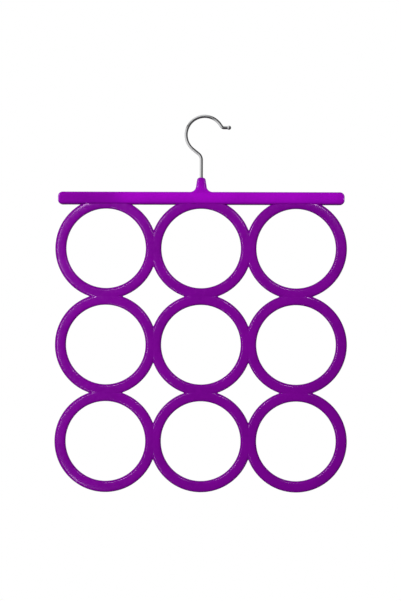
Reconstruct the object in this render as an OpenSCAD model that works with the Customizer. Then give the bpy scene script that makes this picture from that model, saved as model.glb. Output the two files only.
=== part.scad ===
// Scarf hanger: nine rings under a bar, all one flocked moulding, that turn on a wire hook.
// The origin is the point inside the hook that rests on a wardrobe rail.
// +Z is up, the hook opens towards +X, and the frame lies in the XZ plane.

/* [Rings] */
// Diameter of the hole in each ring
ring_bore_d = 95.4; // [60:0.2:120]
// Width of a ring's band, from its hole to its outer edge
ring_band_w = 13.3; // [10:0.1:20]
// Thickness of the band, front to back
ring_t = 6; // [5.4:0.1:8]
// Radius of the band's rounded edges
ring_edge_r = 2.6; // [1:0.1:2.8]
// How far two rings side by side run into each other
column_merge = 7.8; // [3:0.1:9]
// How far two rings one above the other run into each other
row_merge = 6.4; // [3:0.1:9]

/* [Bar] */
// Height of the bar
bar_h = 15.4; // [12:0.1:24]
// Thickness of the bar, front to back
bar_t = 8.4; // [7:0.1:12]
// Radius of the bar's corners, seen from the front
bar_corner_r = 5.6; // [4:0.1:5.8]
// Radius of the rounded edges round the bar's two faces
bar_edge_r = 2; // [1:0.1:3]
// How far each end of the bar stops short of the outermost rings' edges
bar_end_inset = 3.1; // [0:0.1:20]
// How far the top rings run into the bar
bar_merge = 8.5; // [4:0.1:9.5]

/* [Neck] */
// Height of the neck above the bar
neck_h = 17.2; // [15:0.1:24]
// Diameter of the neck across its shoulder
neck_d = 10.4; // [9:0.1:14]
// Radius of the neck's rounded shoulder
neck_shoulder_r = 3; // [1:0.1:3.2]
// Slope of the neck's sides from upright
neck_taper_deg = 5; // [1:0.5:8]
// Radius of the hollow curve from the neck's sides to the bar
neck_flare_r = 8; // [5:0.1:9]
// Height above the bar over which the neck swells out of the bar's faces
neck_swell_h = 8; // [5:0.1:10]

/* [Hook] */
// Diameter of the wire
wire_d = 3.8; // [3:0.1:5]
// Length of the upright stem above the neck
stem_l = 21.5; // [10:0.1:60]
// Radius of the bend at the top of the stem, on the wire's centreline
stem_bend_r = 9.6; // [5:0.1:20]
// Angle of the bend at the top of the stem
stem_bend_deg = 51; // [40:1:70]
// Length of the straight wire from the stem's bend to the hook's arc
lead_l = 8.4; // [2:0.1:20]
// Radius of the hook's arc, on the wire's centreline
hook_r = 22.4; // [18:0.1:30]
// Angle that the hook's arc turns through
hook_sweep_deg = 196; // [180:1:205]
// Length of the straight wire from the hook's arc to the tip's bend
tip_run_l = 3.1; // [1:0.1:10]
// Radius of the tip's bend, on the wire's centreline
tip_bend_r = 3.6; // [3:0.1:8]
// Angle of the tip's outward bend
tip_bend_deg = 55; // [30:1:70]
// Length of the wire from the tip's bend to the middle of its ball
tip_l = 6.2; // [3:0.1:12]
// Diameter of the ball that blunts the tip
tip_ball_d = 5; // [4.4:0.1:8]

/* [Swivel] */
// Depth of the wire's flat head below the top of the neck
head_depth = 11.6; // [8:0.1:12]
// Diameter of the head
head_d = 6.4; // [5.8:0.1:7]
// Height of the head
head_h = 2.2; // [1:0.1:3]
// Space all round the stem in its bore
stem_gap = 0.06; // [0.02:0.01:0.1]
// Space all round the head in its pocket
head_gap = 0.3; // [0.1:0.05:0.4]

/* [Hidden] */
$fn = 96;
row_names = ["top", "middle", "bottom"];
column_names = ["left", "centre", "right"];
last_row = len(row_names) - 1;
last_column = len(column_names) - 1;

flock_colour = [0.46, 0.02, 0.58];
wire_colour = [0.8, 0.8, 0.82];

// How far a cut runs past the surface that it opens
past = 1;
// Slope of the cone that trims the flares, from upright
flare_trim_deg = 60;
// How far the neck's round body stands out past the ends of the flares, so that they run into it
flare_seat = 0.05;
// How far a straight length of wire laps into the bend that it meets
wire_lap = 0.02;

ring_outer_r = ring_bore_d / 2 + ring_band_w;
column_pitch = 2 * ring_outer_r - column_merge;
row_pitch = 2 * ring_outer_r - row_merge;
bar_l = last_column * column_pitch + 2 * (ring_outer_r - bar_end_inset);

// Places, worked down from the rail's point at the origin
hook_z = wire_d / 2 - hook_r;
stem_top_z = hook_z - (stem_bend_r + hook_r) * sin(stem_bend_deg) - lead_l * cos(stem_bend_deg);
swivel_x = stem_bend_r - (stem_bend_r + hook_r) * cos(stem_bend_deg) + lead_l * sin(stem_bend_deg);
neck_top_z = stem_top_z - stem_l;
bar_top_z = neck_top_z - neck_h;
top_row_z = bar_top_z - bar_h + bar_merge - ring_outer_r;
head_top_z = neck_top_z - head_depth;

// Outline of the neck, from the swivel's axis and the bar's top: its leaning side line runs
// from a tangent on the shoulder's circle to a tangent on the flare's circle
shoulder_centre = [neck_d / 2 - neck_shoulder_r, neck_h - neck_shoulder_r];
taper_normal = [cos(neck_taper_deg), sin(neck_taper_deg)];
shoulder_end = shoulder_centre + neck_shoulder_r * taper_normal;
neck_foot_r = shoulder_end.x + shoulder_end.y * tan(neck_taper_deg);
flare_x = neck_foot_r + neck_flare_r * (1 - sin(neck_taper_deg)) / cos(neck_taper_deg);
flare_end = [flare_x, neck_flare_r] - neck_flare_r * taper_normal;

function ring_name(row, column) = str("ring_", row_names[row], "_", column_names[column]);

// A rectangle about the origin with rounded corners
module rounded_section(w, h, r) {
    square([w - 2 * r, h], center = true);
    square([w, h - 2 * r], center = true);
    for (x = [-1, 1], y = [-1, 1])
        translate([x * (w / 2 - r), y * (h / 2 - r)]) circle(r);
}

// The bar's rounded edge in section: from zero out to a given reach, and one bar thick
module edge_section(reach) {
    intersection() {
        rounded_section(2 * reach, bar_t, bar_edge_r);
        translate([0, -bar_t]) square([reach + past, 2 * bar_t]);
    }
}

// The bar's rounded ends, and the straight runs that join them to a gap in the middle
module bar_sides(gap) {
    straight_l = bar_l / 2 - bar_corner_r;
    straight_h = bar_h - 2 * bar_corner_r;
    for (side = [0, 1]) mirror([side, 0, 0]) {
        translate([gap / 2, 0, 0]) rotate([90, 0, 90]) linear_extrude(straight_l - gap / 2)
            rounded_section(bar_t, bar_h, bar_edge_r);
        translate([straight_l, 0, 0]) {
            linear_extrude(straight_h, center = true) edge_section(bar_corner_r);
            for (end = [0, 1]) mirror([0, 0, end]) translate([0, 0, straight_h / 2])
                rotate([90, 0, 0]) rotate_extrude(angle = 90) edge_section(bar_corner_r);
        }
    }
}

// The middle of the bar under the neck, as high as its faces are flat
module bar_middle() {
    flat_h = bar_h - bar_edge_r - past;
    rotate([90, 0, 90]) linear_extrude(2 * flare_x, center = true) intersection() {
        rounded_section(bar_t, bar_h, bar_edge_r);
        translate([-bar_t, -bar_h / 2]) square([2 * bar_t, flat_h]);
    }
}

// Two curved webs that carry the bar's rounded edge up into the neck's sides. A cone trims their
// ends to the neck's round body.
module neck_flares() {
    reach = bar_h / 2;
    trim_slope = tan(flare_trim_deg);
    trim_h = reach + flare_end.y + past;
    intersection() {
        for (side = [0, 1]) mirror([side, 0, 0])
            translate([flare_x, 0, neck_flare_r]) rotate([90, 0, 0])
                rotate_extrude(start = 180 + neck_taper_deg, angle = 90 - neck_taper_deg)
                    translate([neck_flare_r + reach, 0]) mirror([1, 0]) edge_section(reach);
        translate([0, 0, -reach]) cylinder(
            h = trim_h,
            r1 = flare_end.x + flare_seat + (trim_h - past) * trim_slope,
            r2 = flare_end.x + flare_seat - past * trim_slope
        );
    }
}

// Half outline of the neck without its flares, from inside the bar to the rounded shoulder
module neck_outline() {
    foot_r = neck_foot_r + flare_seat;
    offset_end = shoulder_end + [flare_seat, 0];
    offset_centre = shoulder_centre + [flare_seat, 0];
    polygon([
        [0, -bar_h / 2],
        [foot_r + bar_h / 2 * tan(neck_taper_deg), -bar_h / 2],
        offset_end,
        offset_centre,
        [offset_centre.x, neck_h],
        [0, neck_h]
    ]);
    intersection() {
        translate(offset_centre) circle(neck_shoulder_r);
        translate([offset_centre.x, 0]) square(neck_h + past);
    }
}

// The turned body of the neck, which swells out of the bar's two faces
module neck_body() {
    full_r = neck_foot_r + flare_seat;
    intersection() {
        rotate_extrude() neck_outline();
        rotate([90, 0, 90]) linear_extrude(4 * neck_d, center = true) polygon([
            [-bar_t / 2, -bar_h],
            [bar_t / 2, -bar_h],
            [bar_t / 2, 0],
            [full_r, neck_swell_h],
            [full_r, neck_h + past],
            [-full_r, neck_h + past],
            [-full_r, neck_swell_h],
            [-bar_t / 2, 0]
        ]);
    }
}

module top_bar() {
    color(flock_colour) difference() {
        union() {
            translate([swivel_x, 0, bar_top_z - bar_h / 2]) {
                bar_sides(2 * flare_x);
                bar_middle();
            }
            translate([swivel_x, 0, bar_top_z]) {
                neck_flares();
                neck_body();
            }
        }
        translate([swivel_x, 0, 0]) {
            translate([0, 0, head_top_z]) cylinder(h = head_depth + past, d = wire_d + 2 * stem_gap);
            translate([0, 0, head_top_z - head_h - head_gap])
                cylinder(h = head_h + 2 * head_gap, d = head_d + 2 * head_gap);
        }
    }
}

// A whole ring about its own centre, as turned from the section of its band
module ring_blank() {
    rotate([90, 0, 0]) rotate_extrude()
        translate([ring_outer_r - ring_band_w / 2, 0])
            rounded_section(ring_band_w, ring_t, ring_edge_r);
}

// One ring, cut off flat where it meets a neighbour and coped to the underside of the bar
module ring(row, column) {
    clear = ring_outer_r + past;
    left = column > 0 ? column_pitch / 2 : clear;
    right = column < last_column ? column_pitch / 2 : clear;
    up = row > 0 ? row_pitch / 2 : clear;
    down = row < last_row ? row_pitch / 2 : clear;
    x = swivel_x + (column - last_column / 2) * column_pitch;
    z = top_row_z - row * row_pitch;
    color(flock_colour) difference() {
        translate([x, 0, z]) intersection() {
            ring_blank();
            translate([-left, -ring_t, -down]) cube([left + right, 2 * ring_t, up + down]);
        }
        if (row == 0) translate([swivel_x, 0, bar_top_z - bar_h / 2]) bar_sides(0);
    }
}

// A length of straight wire along +X, which laps into what follows so that they are one solid
module straight_wire(length) {
    rotate([0, 90, 0]) cylinder(h = length, d = wire_d);
    for (end = [0, length]) translate([end, 0, 0]) rotate([0, 90, 0])
        cylinder(h = wire_lap, d = wire_d + wire_lap, center = true);
}

// Wire that leaves the origin along +X, through steps of [straight length, bend radius, bend
// angle], where a positive angle bends to the left, and ends in the tip's straight and ball
module bent_wire(steps, step = 0) {
    if (step < len(steps)) {
        length = steps[step][0];
        radius = steps[step][1];
        angle = steps[step][2];
        side = sign(angle);
        straight_wire(length);
        translate([length, side * radius, 0]) {
            rotate(side > 0 ? -90 : 90 + angle)
                rotate_extrude(angle = abs(angle)) translate([radius, 0]) circle(d = wire_d);
            rotate(angle) translate([0, -side * radius, 0]) bent_wire(steps, step + 1);
        }
    } else {
        straight_wire(tip_l);
        translate([tip_l, 0, 0]) sphere(d = tip_ball_d);
    }
}

module hook() {
    color(wire_colour) translate([swivel_x, 0, head_top_z]) {
        translate([0, 0, -head_h]) cylinder(h = head_h, d = head_d);
        rotate([90, -90, 0]) bent_wire([
            [head_depth + stem_l, stem_bend_r, stem_bend_deg],
            [lead_l, hook_r, -hook_sweep_deg],
            [tip_run_l, tip_bend_r, tip_bend_deg]
        ]);
    }
}

hook();
top_bar();
for (row = [0 : last_row], column = [0 : last_column])
    ring(row, column);
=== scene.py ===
"""Looks of a scarf hanger: flocked rings under a straight bar, on a chromed wire hook that swivels."""

import logging
import math
from collections.abc import Sequence
from dataclasses import dataclass
from enum import Enum

import bmesh
import bpy
import numpy as np
from bpy.types import Material, Node, NodeSocket, Object, World
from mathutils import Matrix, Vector


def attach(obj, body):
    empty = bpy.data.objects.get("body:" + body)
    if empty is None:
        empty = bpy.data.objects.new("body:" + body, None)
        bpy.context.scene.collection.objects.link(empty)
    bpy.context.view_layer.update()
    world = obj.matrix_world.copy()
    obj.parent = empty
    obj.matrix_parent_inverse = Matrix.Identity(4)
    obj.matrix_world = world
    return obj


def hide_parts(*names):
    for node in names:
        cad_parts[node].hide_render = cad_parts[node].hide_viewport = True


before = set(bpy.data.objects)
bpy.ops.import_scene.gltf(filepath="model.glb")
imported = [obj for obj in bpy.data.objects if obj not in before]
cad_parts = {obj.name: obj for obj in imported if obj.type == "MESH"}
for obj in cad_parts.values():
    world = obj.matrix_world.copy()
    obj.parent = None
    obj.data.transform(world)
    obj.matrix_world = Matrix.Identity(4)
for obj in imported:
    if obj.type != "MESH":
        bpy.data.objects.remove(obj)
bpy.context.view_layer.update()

LOG = logging.getLogger("scarf_hanger")
MM = 0.001

# Two lengths in millimetres are the same when they differ by less than this.
CLOSE = 1e-6

# A point is X, Y and Z, a colour is linear, and an outline gives X, Z and the direction inwards.
Point = tuple[float, float, float]
Colour = tuple[float, float, float]
Outline = list[tuple[float, float, tuple[float, float]]]


class Body(Enum):
    """The two bodies that the swivel joins."""

    HOOK = "hook"
    FRAME = "frame"


class Slot(Enum):
    """The record's material slots."""

    WIRE = "wire"
    FLOCK = "flock"


class Piece(Enum):
    """The three pieces that are seen."""

    RINGS = "ring_lattice"
    BAR = "bar_and_neck"
    HOOK = "wire_hook"


class Side(Enum):
    """The four sides on which a ring may meet a neighbour, as unit steps along X and Z."""

    RIGHT = (1, 0)
    LEFT = (-1, 0)
    TOP = (0, 1)
    BOTTOM = (0, -1)


@dataclass(frozen=True)
class Layout:
    """Sizes that the sub-assemblies share and the places that follow, in millimetres in the row frame.

    The origin is the point inside the hook's arc that rests on the rail.
    """

    wire_r: float = 1.9
    stem_l: float = 21.5
    stem_bend_r: float = 9.6
    stem_bend_deg: float = 51.0
    lead_l: float = 8.4
    hook_r: float = 22.4
    stem_gap: float = 0.06
    head_r: float = 3.2
    head_h: float = 2.2
    head_depth: float = 11.606
    head_gap: float = 0.3
    neck_h: float = 17.2
    bar_h: float = 15.4
    bar_merge: float = 8.5
    bar_end_inset: float = 3.1
    ring_bore_r: float = 47.7
    ring_band_w: float = 13.3
    column_merge: float = 7.8
    row_merge: float = 6.4

    @property
    def swivel_x(self) -> float:
        """The stem's axis, which the two bends leave beside the middle of the arc.

        Returns:
            Its X.
        """
        turn = math.radians(self.stem_bend_deg)
        back = self.stem_bend_r * (1 - math.cos(turn)) + self.lead_l * math.sin(turn)
        return back - self.hook_r * math.cos(turn)

    @property
    def stem_top_z(self) -> float:
        """The end of the straight stem, where its bend starts.

        Returns:
            Its height.
        """
        turn = math.radians(self.stem_bend_deg)
        rise = (self.stem_bend_r + self.hook_r) * math.sin(turn) + self.lead_l * math.cos(turn)
        return self.wire_r - self.hook_r - rise

    @property
    def neck_top_z(self) -> float:
        """Height of the neck's upper end."""
        return self.stem_top_z - self.stem_l

    @property
    def head_top(self) -> float:
        """Height of the head's upper face above the bar."""
        return self.neck_h - self.head_depth

    @property
    def ring_outer_r(self) -> float:
        """Radius of a ring's rim."""
        return self.ring_bore_r + self.ring_band_w

    @property
    def column_pitch(self) -> float:
        """Distance between the centres of two rings in a row."""
        return 2 * self.ring_outer_r - self.column_merge

    @property
    def row_pitch(self) -> float:
        """Distance between the centres of two rings in a column."""
        return 2 * self.ring_outer_r - self.row_merge

    @property
    def bar_length(self) -> float:
        """Length of the bar, whose ends stop short of the outer rings' rims."""
        return 2 * (self.column_pitch + self.ring_outer_r - self.bar_end_inset)

    @property
    def bar_top_z(self) -> float:
        """Height of the bar's upper edge."""
        return self.neck_top_z - self.neck_h

    @property
    def top_row_z(self) -> float:
        """Height of the first row's ring centres."""
        return self.bar_top_z - self.bar_h + self.bar_merge - self.ring_outer_r

    def ring_centre(self, row: int, column: int) -> tuple[float, float]:
        """X and Z of a ring's centre, with row 0 under the bar and column 0 on the left."""
        return self.swivel_x + (column - 1) * self.column_pitch, self.top_row_z - row * self.row_pitch


class Nodes:
    """The node tree of a material or world, with short ways to add nodes and join them."""

    def __init__(self, owner: Material | World) -> None:
        """Starts an empty tree.

        Args:
            owner: The material or world.
        """
        owner.use_nodes = True
        self.owner = owner
        self.tree = owner.node_tree
        self.tree.nodes.clear()

    def add(self, kind: str, **values: object) -> Node:
        """Adds a node and sets its plain properties.

        Args:
            kind: Blender's type name of the node.
            **values: Properties of the node.

        Returns:
            The node.
        """
        node = self.tree.nodes.new(kind)
        for key, value in values.items():
            setattr(node, key, value)
        return node

    def link(self, source: NodeSocket, target: NodeSocket) -> None:
        """Joins an output to an input."""
        self.tree.links.new(source, target)

    def noise(
        self, where: NodeSocket, scale: float, detail: float = 2.0, roughness: float = 0.5
    ) -> NodeSocket:
        """Adds a noise texture in metres.

        Args:
            where: The coordinates.
            scale: Lumps to the metre.
            detail: Octaves.
            roughness: Weight of the finer octaves.

        Returns:
            The noise's value.
        """
        node = self.add("ShaderNodeTexNoise")
        node.inputs["Scale"].default_value = scale
        node.inputs["Detail"].default_value = detail
        node.inputs["Roughness"].default_value = roughness
        self.link(where, node.inputs["Vector"])
        return node.outputs["Fac"]

    def spread(
        self, value: NodeSocket, low: float, high: float, start: float = 0.3, end: float = 0.7
    ) -> NodeSocket:
        """Maps a value between two limits.

        Args:
            value: The value, such as a noise.
            low: The result at start.
            high: The result at end.
            start: Value that gives low.
            end: Value that gives high.

        Returns:
            The mapped value.
        """
        node = self.add("ShaderNodeMapRange", interpolation_type="SMOOTHSTEP")
        for name, number in (("From Min", start), ("From Max", end), ("To Min", low), ("To Max", high)):
            node.inputs[name].default_value = number
        self.link(value, node.inputs["Value"])
        return node.outputs["Result"]

    def maths(self, operation: str, first: NodeSocket, second: NodeSocket | float) -> NodeSocket:
        """Combines two values.

        Args:
            operation: Blender's name of the operation.
            first: The first value.
            second: The second value, or a number.

        Returns:
            The result.
        """
        node = self.add("ShaderNodeMath", operation=operation)
        self.link(first, node.inputs[0])
        if isinstance(second, float):
            node.inputs[1].default_value = second
        else:
            self.link(second, node.inputs[1])
        return node.outputs["Value"]

    def mix(self, share: NodeSocket, first: Node, second: Node) -> Node:
        """Mixes two shaders.

        Args:
            share: How much of the second one shows.
            first: The first shader node.
            second: The second shader node.

        Returns:
            The mixed shader node.
        """
        node = self.add("ShaderNodeMixShader")
        self.link(share, node.inputs["Fac"])
        self.link(first.outputs[0], node.inputs[1])
        self.link(second.outputs[0], node.inputs[2])
        return node

    def finish(self, shader: Node) -> Material | World:
        """Joins the shader to the tree's output.

        Args:
            shader: The shader node.

        Returns:
            The material or world.
        """
        is_world = isinstance(self.owner, World)
        out = self.add("ShaderNodeOutputWorld" if is_world else "ShaderNodeOutputMaterial")
        self.link(shader.outputs[0], out.inputs["Surface"])
        return self.owner


@dataclass(frozen=True)
class FlockFinish:
    """Short nylon flock on moulded plastic: even, dense pile with a soft sheen."""

    name: str = "purple_flock"
    colour: Colour = (0.188, 0.0009, 0.280)
    brushed_colour: Colour = (0.166, 0.0008, 0.252)
    tip_colour: Colour = (0.212, 0.0014, 0.305)
    sheen_tint: Colour = (0.86, 0.30, 1.0)
    sheen: float = 0.01
    sheen_roughness: float = 0.35
    specular: float = 0.2
    specular_tint: Colour = (1.0, 0.62, 1.0)
    least_roughness: float = 0.15
    most_roughness: float = 0.24
    brush_scale: float = 26.0
    brush_start: float = 0.36
    brush_end: float = 0.66
    mottle_scale: float = 240.0
    mottle_share: float = 0.55
    fibre_scale: float = 2600.0
    fibre_share: float = 0.3
    bump_height: float = 0.00005
    bump_strength: float = 0.2

    def build(self) -> Material:
        """Makes the material.

        Returns:
            A material whose brushed patches, mottle and fibre tips come from the piece's own coordinates.
        """
        nodes = Nodes(bpy.data.materials.new(self.name))
        where = nodes.add("ShaderNodeTexCoord").outputs["Object"]
        patches = nodes.noise(where, self.brush_scale, 3.0)
        brushed = nodes.spread(patches, 0.0, 1.0, self.brush_start, self.brush_end)
        mottle = nodes.noise(where, self.mottle_scale, 4.0, 0.6)
        fibre = nodes.noise(where, self.fibre_scale, 2.0, 0.7)
        base = nodes.add("ShaderNodeMix", data_type="RGBA")
        nodes.link(brushed, base.inputs["Factor"])
        base.inputs["A"].default_value = (*self.colour, 1)
        base.inputs["B"].default_value = (*self.brushed_colour, 1)
        tips = nodes.add("ShaderNodeMix", data_type="RGBA")
        in_mottle = nodes.spread(mottle, 0.0, self.mottle_share)
        in_fibre = nodes.spread(fibre, self.fibre_share, 1.0)
        nodes.link(nodes.maths("MULTIPLY", in_mottle, in_fibre), tips.inputs["Factor"])
        nodes.link(base.outputs["Result"], tips.inputs["A"])
        tips.inputs["B"].default_value = (*self.tip_colour, 1)
        height = nodes.maths("MULTIPLY", nodes.maths("ADD", mottle, fibre), 0.5)
        bump = nodes.add("ShaderNodeBump")
        bump.inputs["Strength"].default_value = self.bump_strength
        bump.inputs["Distance"].default_value = self.bump_height
        nodes.link(height, bump.inputs["Height"])
        shader = nodes.add("ShaderNodeBsdfPrincipled")
        nodes.link(tips.outputs["Result"], shader.inputs["Base Color"])
        rough = nodes.spread(mottle, self.least_roughness, self.most_roughness)
        nodes.link(rough, shader.inputs["Roughness"])
        nodes.link(bump.outputs["Normal"], shader.inputs["Normal"])
        shader.inputs["Specular IOR Level"].default_value = self.specular
        shader.inputs["Specular Tint"].default_value = (*self.specular_tint, 1)
        shader.inputs["Sheen Weight"].default_value = self.sheen
        shader.inputs["Sheen Roughness"].default_value = self.sheen_roughness
        shader.inputs["Sheen Tint"].default_value = (*self.sheen_tint, 1)
        return nodes.finish(shader)


@dataclass(frozen=True)
class ChromeFinish:
    """Bright chrome plate over drawn wire, with a faint waviness and handling haze."""

    name: str = "wire_chrome"
    colour: Colour = (0.56, 0.56, 0.57)
    least_roughness: float = 0.07
    most_roughness: float = 0.12
    haze_scale: float = 90.0
    wave_scale: float = 420.0
    wave_height: float = 0.000004
    wave_strength: float = 0.3

    def build(self) -> Material:
        """Makes the material.

        Returns:
            A metal whose roughness and slight waviness come from the piece's own coordinates.
        """
        nodes = Nodes(bpy.data.materials.new(self.name))
        where = nodes.add("ShaderNodeTexCoord").outputs["Object"]
        haze = nodes.noise(where, self.haze_scale, 5.0, 0.6)
        wave = nodes.noise(where, self.wave_scale, 2.0)
        bump = nodes.add("ShaderNodeBump")
        bump.inputs["Strength"].default_value = self.wave_strength
        bump.inputs["Distance"].default_value = self.wave_height
        nodes.link(wave, bump.inputs["Height"])
        shader = nodes.add("ShaderNodeBsdfPrincipled")
        shader.inputs["Base Color"].default_value = (*self.colour, 1)
        shader.inputs["Metallic"].default_value = 1.0
        rough = nodes.spread(haze, self.least_roughness, self.most_roughness)
        nodes.link(rough, shader.inputs["Roughness"])
        nodes.link(bump.outputs["Normal"], shader.inputs["Normal"])
        return nodes.finish(shader)


class Shell:
    """Vertices and faces of one closed piece, in millimetres until it is made."""

    def __init__(self) -> None:
        """Starts with nothing."""
        self.points: list[Point] = []
        self.faces: list[tuple[int, ...]] = []

    def grid(
        self, rows: Sequence[Sequence[Point]], wrap: bool = False, cut: Sequence[bool] | None = None
    ) -> None:
        """Adds a sheet of quads.

        Args:
            rows: Rows of points, all of one length.
            wrap: Whether the last row joins the first.
            cut: Whether the last quads on each side of a row are left out, row by row.
        """
        start, width = len(self.points), len(rows[0])
        for row in rows:
            self.points.extend(row)
        for i in range(len(rows) if wrap else len(rows) - 1):
            k = (i + 1) % len(rows)
            shorter = cut is not None and (cut[i] or cut[k])
            for j in range(width - 2 if shorter else width - 1):
                a, b = start + i * width + j, start + k * width + j
                self.faces.append((a, a + 1, b + 1, b))

    def make(self, name: str, material: Material, weld: float = 0.0004) -> Object:
        """Welds the sheets into one closed piece and gives it its finish.

        Args:
            name: The piece's name.
            material: Its finish.
            weld: Distance in millimetres under which points are one.

        Returns:
            The piece, in metres.
        """
        mesh = bpy.data.meshes.new(name)
        mesh.from_pydata([tuple(c * MM for c in p) for p in self.points], [], self.faces)
        model = bmesh.new()
        model.from_mesh(mesh)
        bmesh.ops.remove_doubles(model, verts=model.verts, dist=weld * MM)
        bmesh.ops.dissolve_degenerate(model, edges=model.edges, dist=weld * MM / 4)
        bmesh.ops.recalc_face_normals(model, faces=model.faces)
        open_edges = sum(1 for e in model.edges if not e.is_manifold)
        model.to_mesh(mesh)
        model.free()
        mesh.shade_smooth()
        mesh.materials.append(material)
        piece = bpy.data.objects.new(name, mesh)
        bpy.context.scene.collection.objects.link(piece)
        counts = (len(mesh.vertices), len(mesh.polygons), open_edges)
        LOG.info("%s: %d points, %d faces, %d open edges", name, *counts)
        return piece


@dataclass
class RingLattice:
    """The three rows of three rings, moulded as one sheet that is flat on top where rings run together."""

    layout: Layout
    thickness: float = 6.0
    wall: float = 0.3
    shoulder: float = 3.3
    crown: float = 0.5
    fillet: float = 0.9
    rows: int = 3
    columns: int = 3
    shoulder_steps: int = 10
    face_steps: int = 4
    near_steps: int = 11
    free_steps: int = 28
    settle_rounds: int = 5
    probe: float = 0.01
    least_slope: float = 0.05

    def nodes(self) -> list[str]:
        """Names of the solids that the lattice stands for."""
        return [f"ring_{r}_{c}" for r in ("top", "middle", "bottom") for c in ("left", "centre", "right")]

    def half_height(self, rho: np.ndarray) -> np.ndarray:
        """Half the band's thickness.

        Args:
            rho: Distances from a ring's centre.

        Returns:
            Half the thickness there.
        """
        bore, outer = self.layout.ring_bore_r, self.layout.ring_outer_r
        depth = np.clip(np.minimum(rho - bore, outer - rho), 0, self.shoulder)
        lift = np.sqrt(np.clip(1 - (1 - depth / self.shoulder) ** 2, 0, 1))
        return self.wall + (self.crest(rho) - self.wall) * lift

    def crest(self, rho: np.ndarray) -> np.ndarray:
        """Half the thickness that the band's face would have without its shoulders.

        Args:
            rho: Distances from a ring's centre.

        Returns:
            Half the thickness, highest along the band's middle.
        """
        bore, outer = self.layout.ring_bore_r, self.layout.ring_outer_r
        across = (rho - (outer + bore) / 2) / ((outer - bore) / 2)
        return self.thickness / 2 - self.crown * np.clip(across, -1, 1) ** 2

    def stations(self) -> list[tuple[float, bool]]:
        """Distances from the ring's centre at which its section has points, from the bore to the rim.

        Returns:
            Each distance, and whether the point is in the middle of a wall.
        """
        bore, outer = self.layout.ring_bore_r, self.layout.ring_outer_r
        turns = [math.pi / 2 * j / self.shoulder_steps for j in range(self.shoulder_steps + 1)]
        run = [self.shoulder * (1 - math.cos(turn)) for turn in turns]
        flat_start, flat_end = bore + self.shoulder, outer - self.shoulder
        face = [flat_start + (flat_end - flat_start) * j / self.face_steps for j in range(1, self.face_steps)]
        found = [(bore, True)] + [(bore + d, False) for d in run]
        found += [(d, False) for d in face]
        return found + [(outer - d, False) for d in reversed(run)] + [(outer, True)]

    def angles(self) -> list[float]:
        """Directions round a ring, closest together where its rim meets a neighbour's.

        Returns:
            The angles, once round from the right.
        """
        outer = self.layout.ring_outer_r
        meet_x = math.acos(self.layout.column_pitch / 2 / outer)
        meet_z = math.pi / 2 - math.acos(self.layout.row_pitch / 2 / outer)
        near = [math.sin(math.pi / 2 * k / self.near_steps) for k in range(self.near_steps)]
        free = [(1 - math.cos(math.pi * k / self.free_steps)) / 2 for k in range(self.free_steps + 1)]
        quarter = [meet_x * t for t in near]
        quarter += [meet_x + (meet_z - meet_x) * t for t in free]
        quarter += [math.pi / 2 - (math.pi / 2 - meet_z) * t for t in reversed(near)]
        half = quarter + [math.pi - a for a in reversed(quarter[:-1])]
        return half + [-a for a in reversed(half[1:-1])]

    def limit(self, angle: float, sides: Sequence[Side]) -> tuple[float, bool]:
        """How far out a ring reaches in one direction.

        Args:
            angle: The direction.
            sides: The sides on which it meets a neighbour.

        Returns:
            The distance, and whether it ends at a neighbour.
        """
        reach, meets = self.layout.ring_outer_r, False
        for side in sides:
            along = math.cos(angle) * side.value[0] + math.sin(angle) * side.value[1]
            half = self.layout.column_pitch / 2 if side.value[0] else self.layout.row_pitch / 2
            if along > 0 and half / along < reach - CLOSE:
                reach, meets = half / along, True
        return reach, meets

    def blended(self, points: np.ndarray) -> np.ndarray:
        """Signed measure of the surface in which neighbouring rings run together with a small hollow fillet.

        Args:
            points: Points in millimetres, one to a row.

        Returns:
            Negative inside the moulding, zero on its surface.
        """
        bore, outer = self.layout.ring_bore_r, self.layout.ring_outer_r
        middle, flat = (outer + bore) / 2, (outer - bore) / 2 - self.shoulder
        values, slopes = [], []
        for row in range(self.rows):
            for column in range(self.columns):
                x, z = self.layout.ring_centre(row, column)
                rho = np.hypot(points[:, 0] - x, points[:, 2] - z)
                across = np.clip((np.abs(rho - middle) - flat) / self.shoulder, 0, None)
                rise = np.clip((np.abs(points[:, 1]) - self.wall) / (self.crest(rho) - self.wall), 0, None)
                values.append((np.hypot(across, rise) - 1) * (self.thickness / 2 - self.wall))
                slopes.append(np.clip(across * (rho > middle), 0, 1))
        nearest = np.argsort(np.array(values), axis=0)[:2]
        first, second = np.take_along_axis(np.array(values), nearest, 0)
        steep = np.sqrt(np.prod(np.take_along_axis(np.array(slopes), nearest, 0), axis=0))
        width = self.fillet * steep + CLOSE
        share = np.clip(width - np.abs(first - second), 0, None) / width
        return first - share**2 * width / 4

    def settle(self, points: np.ndarray, held: np.ndarray) -> np.ndarray:
        """Moves points onto the blended surface.

        Args:
            points: Points near the surface, one to a row.
            held: True for each coordinate that may not change.

        Returns:
            The moved points.
        """
        for _ in range(self.settle_rounds):
            value = self.blended(points)
            slope = np.zeros_like(points)
            for axis in range(3):
                shift = np.zeros(3)
                shift[axis] = self.probe
                rise = self.blended(points + shift) - self.blended(points - shift)
                slope[:, axis] = rise / (2 * self.probe)
            slope[held] = 0
            points = points - slope * (value / np.maximum((slope**2).sum(axis=1), self.least_slope))[:, None]
        return points

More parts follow.
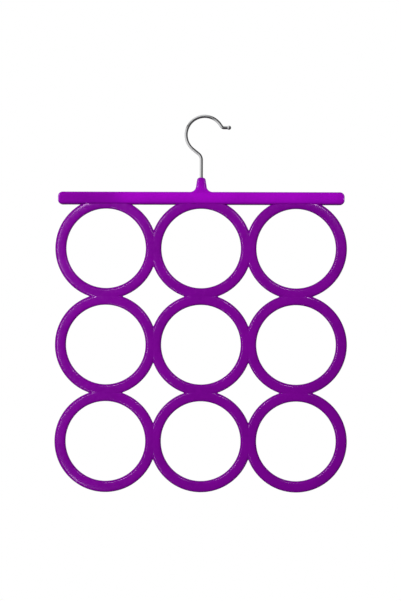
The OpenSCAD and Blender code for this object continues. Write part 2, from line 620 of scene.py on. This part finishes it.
    def on_planes(self, x: float, z: float, sides: Sequence[Side]) -> tuple[bool, bool]:
        """Tells whether a point lies on a plane in which a ring meets a neighbour.

        Args:
            x: The point's X from the ring's centre.
            z: The point's Z from the ring's centre.
            sides: The sides on which the ring meets a neighbour.

        Returns:
            Whether it lies on one between columns, and on one between rows.
        """
        half_x, half_z = self.layout.column_pitch / 2, self.layout.row_pitch / 2
        beside = any(s.value[0] and abs(x - s.value[0] * half_x) < CLOSE for s in sides)
        above = any(s.value[1] and abs(z - s.value[1] * half_z) < CLOSE for s in sides)
        return beside, above

    def ring_rows(self, row: int, column: int) -> tuple[np.ndarray, np.ndarray, np.ndarray]:
        """Points of one ring's front half.

        Args:
            row: The ring's row.
            column: The ring's column.

        Returns:
            The points by angle and station, the coordinates held in place, and where a neighbour is met.
        """
        x, z = self.layout.ring_centre(row, column)
        beside = [s for s in Side if 0 <= column + s.value[0] < self.columns]
        sides = [s for s in beside if 0 <= row - s.value[1] < self.rows]
        stations, angles = self.stations(), self.angles()
        points = np.zeros((len(angles), len(stations), 3))
        held = np.zeros(points.shape, bool)
        meets = np.zeros(len(angles), bool)
        for i, angle in enumerate(angles):
            reach, meets[i] = self.limit(angle, sides)
            for j, (rho, mid_wall) in enumerate(stations):
                at = min(rho, reach)
                in_plane = mid_wall and (rho < reach + CLOSE or j == 0)
                height = 0.0 if in_plane else float(self.half_height(np.array(at)))
                across, up = at * math.cos(angle), at * math.sin(angle)
                points[i, j] = (x + across, -height, z + up)
                held[i, j, 1] = height == 0.0
                if at > reach - CLOSE:
                    held[i, j, 0], held[i, j, 2] = self.on_planes(across, up, sides)
        return points, held, meets

    def build(self, material: Material) -> Object:
        """Makes the lattice as one closed piece.

        Args:
            material: The flock.

        Returns:
            The piece, riding on the frame in place of the nine rings.
        """
        shell = Shell()
        for row in range(self.rows):
            for column in range(self.columns):
                points, held, meets = self.ring_rows(row, column)
                settled = self.settle(points.reshape(-1, 3), held.reshape(-1, 3)).reshape(points.shape)
                for back in (1, -1):
                    lines = [[(x, y * back, z) for x, y, z in line] for line in settled]
                    shell.grid(lines, wrap=True, cut=meets)
        piece = shell.make(Piece.RINGS.value, material)
        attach(piece, Body.FRAME.value)
        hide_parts(*self.nodes())
        return piece


@dataclass
class TopBar:
    """The straight bar with rounded edges and the neck that swells out of it round the hook's stem.

    The neck is a little less deep than it is wide, so that it stays inside the solid's box.
    """

    layout: Layout
    half_thickness: float = 4.2
    crown: float = 0.5
    wall: float = 1.4
    shoulder: float = 3.2
    corner_r: float = 5.6
    flare_x: float = 13.7
    flare_r: float = 7.2
    taper_deg: float = 9.2
    neck_depth_share: float = 0.888
    neck_shoulder_r: float = 3.0
    bore_edge: float = 0.35
    bore_mouth: float = 3.0
    straight_steps: int = 40
    corner_steps: int = 12
    edge_steps: int = 8
    across_steps: int = 10
    middle_steps: int = 16
    flare_steps: int = 22
    flare_pace: float = 1.25
    taper_steps: int = 8
    round_steps: int = 10
    lip_steps: int = 4

    def bar_crest(self, z: float) -> float:
        """Half the bar's thickness where its shoulders don't reach.

        Args:
            z: Height from the bar's upper edge.

        Returns:
            Half the thickness, highest along the bar's middle.
        """
        half = self.layout.bar_h / 2
        return self.half_thickness - self.crown * min(abs(z + half) / half, 1.0) ** 2

    def neck_crest(self, z: float) -> float:
        """Half the thickness along the neck's middle, from the bar's face up to the neck's taper.

        Args:
            z: Height from the bar's upper edge.

        Returns:
            Half the thickness, which leaves the bar and joins the neck with their own slopes.
        """
        end_x, end_z = self.flare_point(1.0)
        half = self.layout.bar_h / 2
        span = end_z + self.shoulder
        low_slope = -2 * self.crown * (half - self.shoulder) / half**2
        high_slope = -math.tan(math.radians(self.taper_deg)) * self.neck_depth_share
        s = min(max((z + self.shoulder) / span, 0.0), 1.0)
        return (
            (2 * s**3 - 3 * s**2 + 1) * self.bar_crest(-self.shoulder)
            + (s**3 - 2 * s**2 + s) * span * low_slope
            + (3 * s**2 - 2 * s**3) * end_x * self.neck_depth_share
            + (s**3 - s**2) * span * high_slope
        )

    def flare_point(self, share: float) -> tuple[float, float]:
        """A point of the flare's outline.

        Args:
            share: 0 at its foot on the bar, and 1 where it runs into the neck's taper.

        Returns:
            Half the width there, and the height above the bar.
        """
        turn = math.radians(90 - self.taper_deg) * share
        return self.flare_x - self.flare_r * math.sin(turn), self.flare_r * (1 - math.cos(turn))

    def edge(self, x: float, z: float, toward: tuple[float, float]) -> list[Point]:
        """Points of the bar's rounded edge, from the middle of its wall to its face, on the front.

        Args:
            x: The outline's X.
            z: The outline's Z.
            toward: Unit direction from the outline into the bar.

        Returns:
            The points.
        """
        found = [(x, 0.0, z)]
        for j in range(self.edge_steps + 1):
            turn = math.pi / 2 * j / self.edge_steps
            into = self.shoulder * (1 - math.cos(turn))
            at = z + toward[1] * into
            depth = self.wall + (self.bar_crest(at) - self.wall) * math.sin(turn)
            found.append((x + toward[0] * into, -depth, at))
        return found

    def corner(self, start: float, z: float) -> Outline:
        """One rounded corner of the bar's outline.

        Args:
            start: Direction of its first point from its centre.
            z: Height of its centre.

        Returns:
            Each point's X and Z, and the direction into the bar.
        """
        found = []
        for k in range(self.corner_steps + 1):
            turn = start + math.pi / 2 * k / self.corner_steps
            out, up = math.cos(turn), math.sin(turn)
            x = self.layout.bar_length / 2 - self.corner_r + self.corner_r * out
            found.append((x, z + self.corner_r * up, (-out, -up)))
        return found

    def side_outline(self) -> Outline:
        """The right half of the bar's outline, from under the flare's foot round the end and back to it.

        Returns:
            Each point's X and Z from the bar's top middle, and the direction into the bar.
        """
        half, low, r = self.layout.bar_length / 2, -self.layout.bar_h, self.corner_r
        reach = half - r - self.flare_x
        straight = [self.flare_x + reach * k / self.straight_steps for k in range(self.straight_steps)]
        found = [(x, low, (0.0, 1.0)) for x in straight] + self.corner(-math.pi / 2, low + r)
        step = (self.layout.bar_h - 2 * r) / self.across_steps
        found += [(half, low + r + step * k, (-1.0, 0.0)) for k in range(1, self.across_steps)]
        return found + self.corner(0.0, -r) + [(x, 0.0, (0.0, -1.0)) for x in reversed(straight)]

    def flare_sections(self) -> list[list[Point]]:
        """Edge sections up the right side of the flare, which turn from the bar's edge into the neck's round.

        Returns:
            One section for each step, the last of them a quarter of the neck's oval.
        """
        end_z = self.flare_point(1.0)[1]
        found = []
        for k in range(self.flare_steps + 1):
            t = k / self.flare_steps
            x, z = self.flare_point(t)
            ease = t * t * (3 - 2 * t)
            inner_x = x * (1 - ease)
            inner_z = -self.shoulder + (end_z + self.shoulder) * t**self.flare_pace
            crest, wall = self.neck_crest(inner_z), self.wall * (1 - ease)
            line = [(x, 0.0, z)]
            for j in range(self.edge_steps + 1):
                bend = math.pi / 2 * j / self.edge_steps
                share = 1 - math.cos(bend)
                at_z = z + (inner_z - z) * share
                lift = (1 - ease) * (self.bar_crest(min(at_z, 0.0)) - self.bar_crest(min(inner_z, 0.0)))
                depth = wall + (crest + lift - wall) * math.sin(bend)
                line.append((x + (inner_x - x) * share, -depth, at_z))
            found.append(line)
        return found

    def neck_profile(self) -> list[Point]:
        """Outline of the neck, over its shoulder, down the bore and round the head's pocket.

        Returns:
            Half the width, half the depth and the height above the bar, from the flare's end to the
            pocket's floor.
        """
        size = self.layout
        end_x, end_z = self.flare_point(1.0)
        top, r, taper = size.neck_h, self.neck_shoulder_r, math.radians(self.taper_deg)
        shoulder_z = top - r * (1 - math.sin(taper))
        shoulder_x = end_x - (shoulder_z - end_z) * math.tan(taper)
        found = []
        for k in range(self.taper_steps + 1):
            t = k / self.taper_steps
            x = end_x + (shoulder_x - end_x) * t
            found.append((x, x * self.neck_depth_share, end_z + (shoulder_z - end_z) * t))
        for k in range(1, self.round_steps + 1):
            t = k / self.round_steps
            turn = taper + (math.pi / 2 - taper) * t
            x = shoulder_x + r * (math.cos(turn) - math.cos(taper))
            deep = self.neck_depth_share + (1 - self.neck_depth_share) * t
            found.append((x, x * deep, top - r + r * math.sin(turn)))
        bore, edge = size.wire_r + size.stem_gap, self.bore_edge
        turns = [math.pi / 2 * k / self.lip_steps for k in range(self.lip_steps + 1)]
        inside = [(bore + edge - edge * math.sin(a), top - edge * (1 - math.cos(a))) for a in turns]
        pocket_r, pocket_top = size.head_r + size.head_gap, size.head_top + size.head_gap
        pocket_floor = size.head_top - size.head_h - size.head_gap
        inside += [(bore, top - self.bore_mouth), (bore, pocket_top), (pocket_r, pocket_top)]
        inside += [(pocket_r, pocket_floor), (0.0, pocket_floor)]
        return found + [(x, x, z) for x, z in inside]

    def build(self, material: Material) -> Object:
        """Makes the bar and its neck as one closed piece.

        Args:
            material: The flock.

        Returns:
            The piece, riding on the frame in place of the bar's solid.
        """
        side = [self.edge(x, z, toward) for x, z, toward in self.side_outline()]
        inner = [line[-1] for line in side]
        below_end = (len(inner) - self.across_steps + 1) // 2
        face = [self.across(inner[k], inner[-1 - k]) for k in range(below_end)]
        flare = self.flare_sections()
        low = self.edge(0.0, -self.layout.bar_h, (0.0, 1.0))
        under = [[(x, p[1], p[2]) for p in low] for x in self.spaced(-self.flare_x, self.flare_x)]
        rows = self.across(inner[0], inner[-1]) + [line[-1] for line in flare[1:]]
        middle_face = [[(x, p[1], p[2]) for x in self.spaced(-p[0], p[0])] for p in rows]
        sheets = [side, face, flare, under, middle_face]
        shell = Shell()
        middle, top = self.layout.swivel_x, self.layout.bar_top_z
        mirrored = (True, True, True, False, False)
        for sheet, both in zip(sheets, mirrored):
            for left in (1, -1) if both else (1,):
                for back in (1, -1):
                    shell.grid(
                        [[(middle + x * left, y * back, top + z) for x, y, z in line] for line in sheet]
                    )
        quarter = [math.pi / 2 * j / self.edge_steps for j in range(self.edge_steps)]
        turns = [a + k * math.pi / 2 for k in range(4) for a in quarter]
        profile = self.neck_profile()
        shell.grid(
            [[(middle + x * math.cos(a), -y * math.sin(a), top + z) for x, y, z in profile] for a in turns],
            wrap=True,
        )
        piece = shell.make(Piece.BAR.value, material)
        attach(piece, Body.FRAME.value)
        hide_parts("top_bar")
        return piece

    def spaced(self, low: float, high: float) -> list[float]:
        """Evenly spaced numbers from low to high."""
        return [low + (high - low) * k / self.middle_steps for k in range(self.middle_steps + 1)]

    def across(self, a: Point, b: Point) -> list[Point]:
        """Points across the bar's crowned face.

        Args:
            a: The first point.
            b: The last point.

        Returns:
            The points.
        """
        found = []
        for k in range(self.across_steps + 1):
            t = k / self.across_steps
            z = a[2] + (b[2] - a[2]) * t
            found.append((a[0] + (b[0] - a[0]) * t, -self.bar_crest(z), z))
        return found


@dataclass
class WireHook:
    """The round wire: a flat head in the neck, a stem, a bend, the hook's arc and a ball at its tip."""

    layout: Layout
    head_edge: float = 0.35
    head_seam: float = 0.001
    head_clear: float = 0.05
    hook_deg: float = 196.0
    tip_run_l: float = 3.1
    tip_bend_r: float = 3.6
    tip_bend_deg: float = 55.0
    tip_l: float = 6.2
    ball_r: float = 2.5
    ball_neck: float = 3.4
    ball_blend: float = 0.5
    ball_fade: float = 0.8
    around: int = 48
    step: float = 0.45
    neck_steps: int = 12
    cap_steps: int = 10

    def runs(self, start: float) -> list[tuple[float, float, float]]:
        """The wire as a bender makes it.

        Args:
            start: Height of the head's underside.

        Returns:
            Each straight's length, and the radius and the turn in degrees of the bend that follows it.
        """
        size = self.layout
        return [
            (size.stem_top_z - start, size.stem_bend_r, size.stem_bend_deg),
            (size.lead_l, size.hook_r, -self.hook_deg),
            (self.tip_run_l, self.tip_bend_r, self.tip_bend_deg),
            (self.tip_l, 0.0, 0.0),
        ]

    def path(self) -> tuple[np.ndarray, np.ndarray]:
        """The wire's centreline from the head's underside to the ball's centre.

        Returns:
            Points in X and Z, and the heading at each.
        """
        start = self.layout.bar_top_z + self.layout.head_top - self.layout.head_h
        points, headings = [], []
        x, z, heading = self.layout.swivel_x, start, math.pi / 2
        for length, radius, degrees in self.runs(start):
            count = math.ceil(length / self.step)
            for k in range(count):
                part = length * k / count
                points.append((x + part * math.cos(heading), z + part * math.sin(heading)))
                headings.append(heading)
            x, z = x + length * math.cos(heading), z + length * math.sin(heading)
            turn = math.radians(degrees)
            side = math.copysign(1, turn)
            cx, cz = x - side * radius * math.sin(heading), z + side * radius * math.cos(heading)
            count = math.ceil(abs(turn) * radius / self.step)
            for k in range(count):
                at = heading + turn * k / count
                points.append((cx + side * radius * math.sin(at), cz - side * radius * math.cos(at)))
                headings.append(at)
            heading += turn
            x, z = cx + side * radius * math.sin(heading), cz - side * radius * math.cos(heading)
        points.append((x, z))
        headings.append(heading)
        return np.array(points), np.array(headings)

    def radius_at(self, from_start: float, to_ball: float) -> float:
        """The wire's radius.

        Args:
            from_start: Distance along the wire from the head's underside.
            to_ball: Distance along the wire to the ball's centre.

        Returns:
            The radius, which swells into the ball.
        """
        size = self.layout
        if from_start <= size.head_h:
            edge = min(from_start, size.head_h - from_start)
            return size.head_r - self.head_edge * max(0.0, 1 - edge / self.head_edge) ** 2
        if to_ball > self.ball_neck:
            return size.wire_r
        ball = math.sqrt(max(self.ball_r**2 - to_ball**2, 0.0))
        share = max(self.ball_blend - abs(ball - size.wire_r), 0.0) / self.ball_blend
        grown = max(ball, size.wire_r) + share**2 * self.ball_blend / 4
        fade = min(1.0, (self.ball_neck - to_ball) / self.ball_fade)
        return size.wire_r + (grown - size.wire_r) * fade

    def sections(self) -> list[tuple[float, float, float, float]]:
        """The wire's round sections, from the head's underside along the wire to the ball's tip.

        Returns:
            Each section's X and Z, heading and radius.
        """
        size = self.layout
        points, headings = self.path()
        along = np.concatenate([[0.0], np.cumsum(np.hypot(*np.diff(points, axis=0).T))])
        total = along[-1]
        (x, z), heading, edge = points[0], headings[0], self.head_edge
        found = [(x, z, heading, 0.0)]
        for at in (0.0, edge / 2, edge, size.head_h - edge, size.head_h - self.head_seam):
            found.append((x, z + at, heading, self.radius_at(at, total)))
        found.append((x, z + size.head_h, heading, size.wire_r))
        for (x, z), heading, at in zip(points, headings, along):
            if size.head_h + self.head_clear < at < total - self.ball_neck:
                found.append((x, z, heading, size.wire_r))
        (x, z), heading = points[-1], headings[-1]
        neck = [-self.ball_neck * (1 - k / self.neck_steps) for k in range(self.neck_steps + 1)]
        ends = [(at, self.radius_at(total, -at)) for at in neck]
        turns = [math.pi / 2 * k / self.cap_steps for k in range(1, self.cap_steps + 1)]
        ends += [(self.ball_r * math.sin(turn), self.ball_r * math.cos(turn)) for turn in turns]
        found += [(x + at * math.cos(heading), z + at * math.sin(heading), heading, r) for at, r in ends]
        return found

    def build(self, material: Material) -> Object:
        """Makes the bent wire as one closed piece.

        Args:
            material: The chrome.

        Returns:
            The piece, riding on the hook's body in place of its solid.
        """
        sections = self.sections()
        shell = Shell()
        turns = [2 * math.pi * k / self.around for k in range(self.around)]
        lines = []
        for turn in turns:
            out, depth = math.cos(turn), math.sin(turn)
            line = [
                (x - r * out * math.sin(way), -r * depth, z + r * out * math.cos(way))
                for x, z, way, r in sections
            ]
            lines.append(line)
        shell.grid(lines, wrap=True)
        piece = shell.make(Piece.HOOK.value, material)
        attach(piece, Body.HOOK.value)
        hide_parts("hook")
        return piece


@dataclass(frozen=True)
class Softbox:
    """One soft lamp for some of the pieces, placed from what it is aimed at.

    Its bearing and height are in degrees, its distance and size in metres, and its glow is its radiance. One
    that isn't mirrored adds no gloss.
    """

    name: str
    lights: tuple[Piece, ...]
    target: Point
    bearing: float
    height: float
    distance: float
    size: tuple[float, float]
    glow: float
    mirrored: bool = True

    def place(self) -> Vector:
        """The lamp's place: a bearing of 0 is straight in front, and a positive one is to the right.

        Returns:
            The place.
        """
        turn, rise = math.radians(self.bearing), math.radians(self.height)
        way = Vector((math.sin(turn) * math.cos(rise), -math.cos(turn) * math.cos(rise), math.sin(rise)))
        return Vector(self.target) + way * self.distance

    def build(self, pieces: Sequence[Object]) -> None:
        """Hangs the lamp.

        Args:
            pieces: All pieces that are seen.
        """
        lamp = bpy.data.lights.new(self.name, "AREA")
        lamp.shape = "RECTANGLE"
        lamp.size, lamp.size_y = self.size
        lamp.energy = self.glow * math.pi * self.size[0] * self.size[1]
        lamp.cycles.use_multiple_importance_sampling = self.mirrored
        holder = bpy.data.objects.new(self.name, lamp)
        holder.location = self.place()
        holder.rotation_mode = "QUATERNION"
        holder.rotation_quaternion = (Vector(self.target) - self.place()).to_track_quat("-Z", "Y")
        holder.visible_camera = False
        holder.visible_glossy = self.mirrored
        lit = bpy.data.collections.new(f"lit_by_{self.name}")
        for piece in pieces:
            if Piece(piece.name) in self.lights:
                lit.objects.link(piece)
        holder.light_linking.receiver_collection = lit
        bpy.context.scene.collection.objects.link(holder)


RINGS_MIDDLE = (-0.004, 0.0, -0.27)
BAR_MIDDLE = (-0.004, 0.0, -0.097)
BAR_FACE = (0.03, -0.0042, -0.0935)
HOOK_MIDDLE = (0.0, 0.0, -0.03)
FLOCKED = (Piece.RINGS, Piece.BAR)


@dataclass
class Studio:
    """The plain white studio: floor, world, soft lamps and the camera.

    Rings and bar each have a broad key without gloss, and narrow lamps that draw highlights on their edges.
    """

    floor_z: float = -1.05
    floor_size: float = 3.2
    floor_grey: float = 0.8
    surround: float = 0.09
    backdrop_edge: float = 0.7
    lens_px: float = 707.63
    image_px: tuple[int, int] = (401, 601)
    sensor: float = 36.0
    clip: tuple[float, float] = (0.05, 20.0)
    camera_place: Point = (-0.0046, -0.85, -0.2277)
    camera_turn: tuple[float, float, float] = (0.535, 0.0, -0.164)
    lamps: tuple[Softbox, ...] = (
        Softbox("ring_key", (Piece.RINGS,), RINGS_MIDDLE, -14, 24, 1.35, (0.7, 0.6), 2.8, mirrored=False),
        Softbox("ring_left", (Piece.RINGS,), RINGS_MIDDLE, -32, 6, 1.25, (0.06, 0.75), 44.0),
        Softbox("ring_high_left", (Piece.RINGS,), RINGS_MIDDLE, -21, 25, 1.25, (0.14, 0.16), 44.0),
        Softbox("ring_high_right", (Piece.RINGS,), RINGS_MIDDLE, 22, 26, 1.25, (0.11, 0.15), 52.0),
        Softbox("ring_low_left", (Piece.RINGS,), RINGS_MIDDLE, -26, -28, 1.25, (0.10, 0.17), 34.0),
        Softbox("bar_key", (Piece.BAR,), BAR_MIDDLE, -14, 24, 1.35, (0.7, 0.6), 12.5, mirrored=False),
        Softbox("bar_tube", (Piece.BAR,), BAR_FACE, 0, 0, 0.016, (0.27, 0.006), 3.8, mirrored=False),
        Softbox("bar_left", (Piece.BAR,), BAR_MIDDLE, -76, 10, 1.0, (0.12, 0.45), 50.0),
        Softbox("bar_right", (Piece.BAR,), BAR_MIDDLE, 76, 10, 1.0, (0.12, 0.45), 30.0),
        Softbox("rear_key", FLOCKED, RINGS_MIDDLE, 158, 24, 1.35, (0.7, 0.6), 12.0, mirrored=False),
        Softbox("hook_left", (Piece.HOOK,), HOOK_MIDDLE, -72, -8, 0.55, (0.85, 1.0), 1.1),
        Softbox("hook_top", (Piece.HOOK,), HOOK_MIDDLE, -40, 65, 0.55, (0.6, 0.5), 1.2),
        Softbox("hook_front", (Piece.HOOK,), HOOK_MIDDLE, -16, 8, 0.9, (0.55, 0.5), 0.75),
        Softbox("hook_right", (Piece.HOOK,), HOOK_MIDDLE, 72, -8, 0.6, (0.5, 0.5), 0.04),
    )

    def build_world(self) -> None:
        """Makes a world that is dim on the object, and white to the camera and in mirrors behind it."""
        nodes = Nodes(bpy.data.worlds.new("studio"))
        path = nodes.add("ShaderNodeLightPath")
        axes = nodes.add("ShaderNodeSeparateXYZ")
        nodes.link(nodes.add("ShaderNodeTexCoord").outputs["Generated"], axes.inputs[0])
        behind = nodes.maths("GREATER_THAN", axes.outputs["Y"], self.backdrop_edge)
        mirrored = nodes.maths("MAXIMUM", path.outputs["Is Glossy Ray"], path.outputs["Is Transmission Ray"])
        backdrop = nodes.maths("MULTIPLY", mirrored, behind)
        shown = nodes.maths("MAXIMUM", path.outputs["Is Camera Ray"], backdrop)
        dim, white = nodes.add("ShaderNodeBackground"), nodes.add("ShaderNodeBackground")
        dim.inputs["Color"].default_value = (self.surround, self.surround, self.surround, 1)
        white.inputs["Color"].default_value = (1, 1, 1, 1)
        bpy.context.scene.world = nodes.finish(nodes.mix(shown, dim, white))

    def build_floor(self) -> None:
        """Lays the plain pale floor far under the hanger."""
        nodes = Nodes(bpy.data.materials.new("floor_white"))
        path = nodes.add("ShaderNodeLightPath")
        pale, glow = nodes.add("ShaderNodeBsdfDiffuse"), nodes.add("ShaderNodeEmission")
        pale.inputs["Color"].default_value = (self.floor_grey, self.floor_grey, self.floor_grey, 1)
        shell = Shell()
        half, low = self.floor_size / 2 / MM, self.floor_z / MM
        shell.grid([[(-half, y, low), (half, y, low)] for y in (-half, half)])
        shell.make("floor", nodes.finish(nodes.mix(path.outputs["Is Camera Ray"], pale, glow)))

    def build_camera(self) -> None:
        """Sets the camera at the photograph's place."""
        width, height = self.image_px
        data = bpy.data.cameras.new("photo_camera")
        data.sensor_fit = "AUTO"
        data.sensor_width = self.sensor
        data.lens = self.lens_px * self.sensor / max(width, height)
        data.clip_start, data.clip_end = self.clip
        camera = bpy.data.objects.new("photo_camera", data)
        pitch, yaw, roll = (math.radians(v) for v in self.camera_turn)
        camera.location = self.camera_place
        camera.rotation_mode = "XYZ"
        camera.rotation_euler = (math.pi / 2 + pitch, roll, yaw)
        bpy.context.scene.collection.objects.link(camera)
        bpy.context.scene.camera = camera

    def build(self, pieces: Sequence[Object]) -> None:
        """Makes the whole studio.

        Args:
            pieces: The pieces that are seen.
        """
        self.build_world()
        self.build_floor()
        for lamp in self.lamps:
            lamp.build(pieces)
        self.build_camera()
        bpy.context.scene.view_settings.view_transform = "Standard"


def main() -> None:
    """Builds the hanger and its studio, and reports each piece."""
    logging.basicConfig(level=logging.INFO, format="%(name)s: %(message)s")
    layout = Layout()
    chrome = ChromeFinish().build()
    flock = FlockFinish().build()
    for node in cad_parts.values():
        node.data.materials.clear()
        node.data.materials.append(chrome if node.name == "hook" else flock)
    pieces = [WireHook(layout).build(chrome), TopBar(layout).build(flock), RingLattice(layout).build(flock)]
    Studio().build(pieces)


if __name__ == "__main__":
    main()
